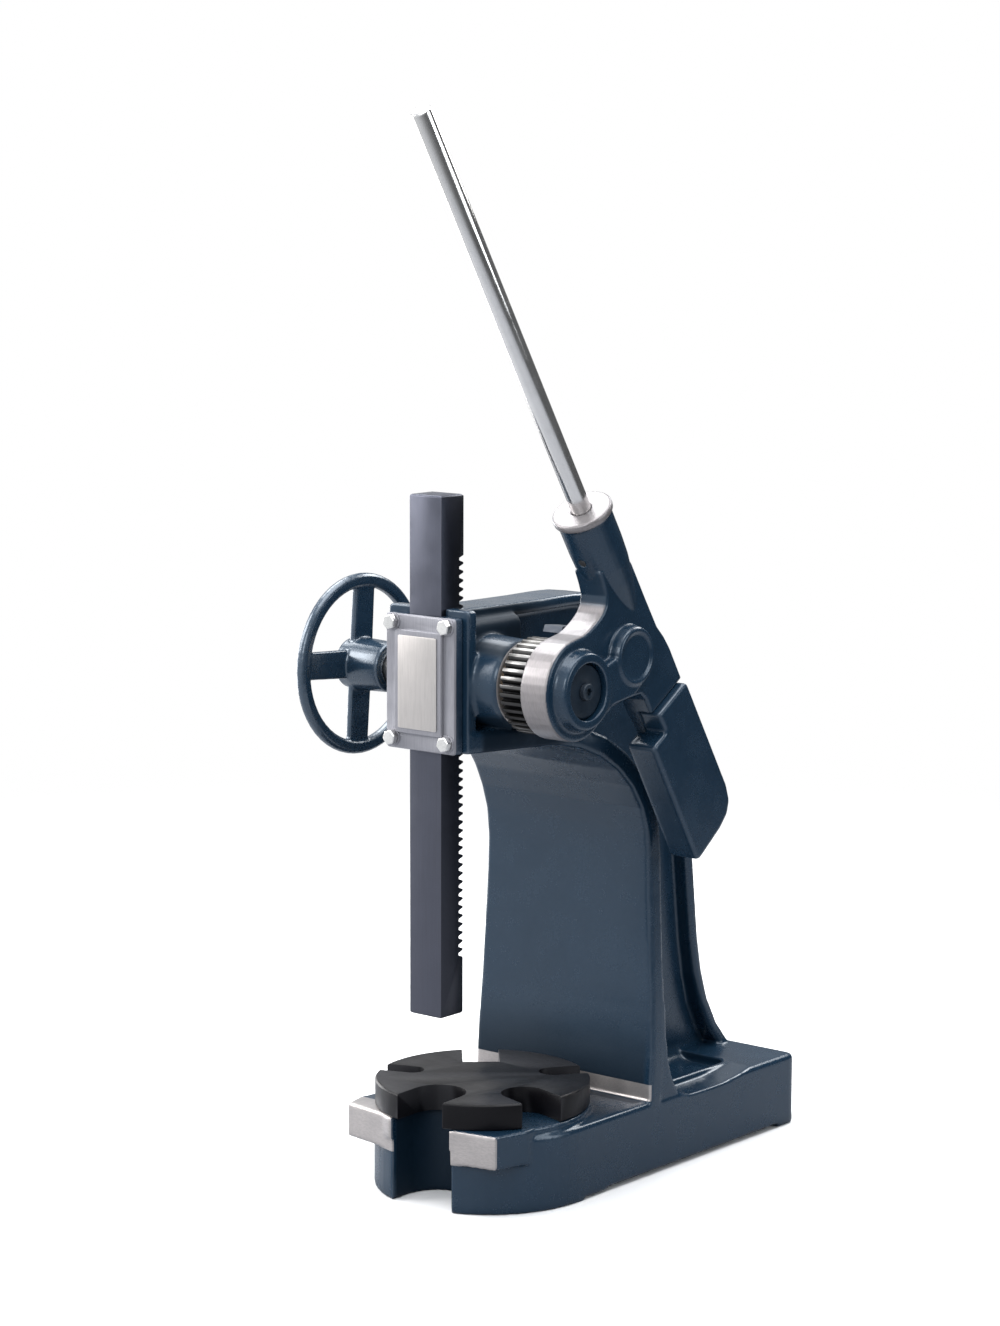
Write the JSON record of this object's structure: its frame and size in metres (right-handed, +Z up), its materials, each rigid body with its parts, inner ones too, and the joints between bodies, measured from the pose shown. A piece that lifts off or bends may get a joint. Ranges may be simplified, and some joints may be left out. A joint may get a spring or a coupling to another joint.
{
  "type": "ratchet-lever arbor press",
  "caption": "Bench arbor press: C-shaped cast frame, square toothed ram driven by a pinion, counterweighted ratchet lever, handwheel and a round slotted table that turns.",
  "frame": {"origin": "centre of the bounding box at bench height, in the rest pose (ram and lever as pictured)", "axes": "+Z up; the operator stands at -Y; the ratchet lever is on the +X side and the handwheel on the -X side"},
  "size_m": [0.339, 0.714, 1.1886],
  "materials": {
    "enamel_frame": "glossy dark blue-grey machine enamel over a lightly rough casting",
    "enamel_cap": "glossy dark blue-grey machine enamel",
    "enamel_wheel": "glossy dark blue-grey machine enamel",
    "enamel_lever": "glossy dark blue-grey machine enamel over a lightly rough casting",
    "enamel_weight": "glossy dark blue-grey machine enamel over a lightly rough casting",
    "dark_ram_steel": "dark ground steel with an oil film",
    "black_table": "near black machined iron, soft sheen",
    "turned_steel": "turned steel",
    "tooth_steel": "cut steel, darkened in the tooth gaps",
    "key_steel": "drawn key steel",
    "black_screw": "black oxide",
    "bright_bolts": "bright plated hexagon heads",
    "polished_bar": "polished bar",
    "bearing_bronze": "machined bearing bronze",
    "spring_steel": "hard-drawn wire",
    "plain_plate": "plain brushed plate with nothing on it"
  },
  "bodies": {
    "press_frame": {"frame_casting": "enamel_frame", "front_cap": "enamel_cap", "cap_bolt_1": "bright_bolts", "cap_bolt_2": "bright_bolts", "cap_bolt_3": "bright_bolts", "cap_bolt_4": "bright_bolts", "blank_nameplate": "plain_plate", "gib_plate": "bearing_bronze", "bushing_left": "bearing_bronze", "bushing_right": "bearing_bronze", "table_pivot_pin": "turned_steel"},
    "ram": {"ram_rack": "dark_ram_steel"},
    "pinion": {"pinion_shaft": "turned_steel", "ratchet_wheel": "tooth_steel", "ratchet_key": "key_steel", "handwheel": "enamel_wheel", "handwheel_key": "key_steel", "handwheel_set_screw": "black_screw", "retaining_washer": "turned_steel", "retaining_screw": "black_screw"},
    "lever": {"lever_casting": "enamel_lever", "handle_bar": "polished_bar", "handle_set_screw": "black_screw", "counterweight": "enamel_weight", "counterweight_bolt_1": "bright_bolts", "counterweight_bolt_2": "bright_bolts", "pawl_pin": "turned_steel", "spring_post": "turned_steel", "pawl_spring": "spring_steel"},
    "pawl": {"pawl": "tooth_steel"},
    "table": {"table_plate": "black_table"}
  },
  "joints": [
    {"name": "pinion_spin", "type": "hinge", "parent": "press_frame", "child": "pinion", "pos_m": [-0.0095, -0.11347, 0.5793], "axis": [1, 0, 0], "range_deg": [-690, 200]},
    {"name": "ram_slide", "type": "slide", "parent": "press_frame", "child": "ram", "axis": [0, 0, 1], "range_m": [-0.084, 0.2895]},
    {"name": "lever_swing", "type": "hinge", "parent": "press_frame", "child": "lever", "pos_m": [-0.0095, -0.11347, 0.5793], "axis": [1, 0, 0], "range_deg": [-30, 100]},
    {"name": "pawl_pivot", "type": "hinge", "parent": "lever", "child": "pawl", "pos_m": [0.1025, -0.02866, 0.60789], "axis": [1, 0, 0], "range_deg": [0, 9]},
    {"name": "table_spin", "type": "hinge", "parent": "press_frame", "child": "table", "pos_m": [-0.0095, -0.07347, 0.11], "axis": [0, 0, 1], "continuous": true}
  ],
  "couplings": [
    {"joint": "ram_slide", "follows": "pinion_spin", "m_per_rad": -0.024}
  ]
}
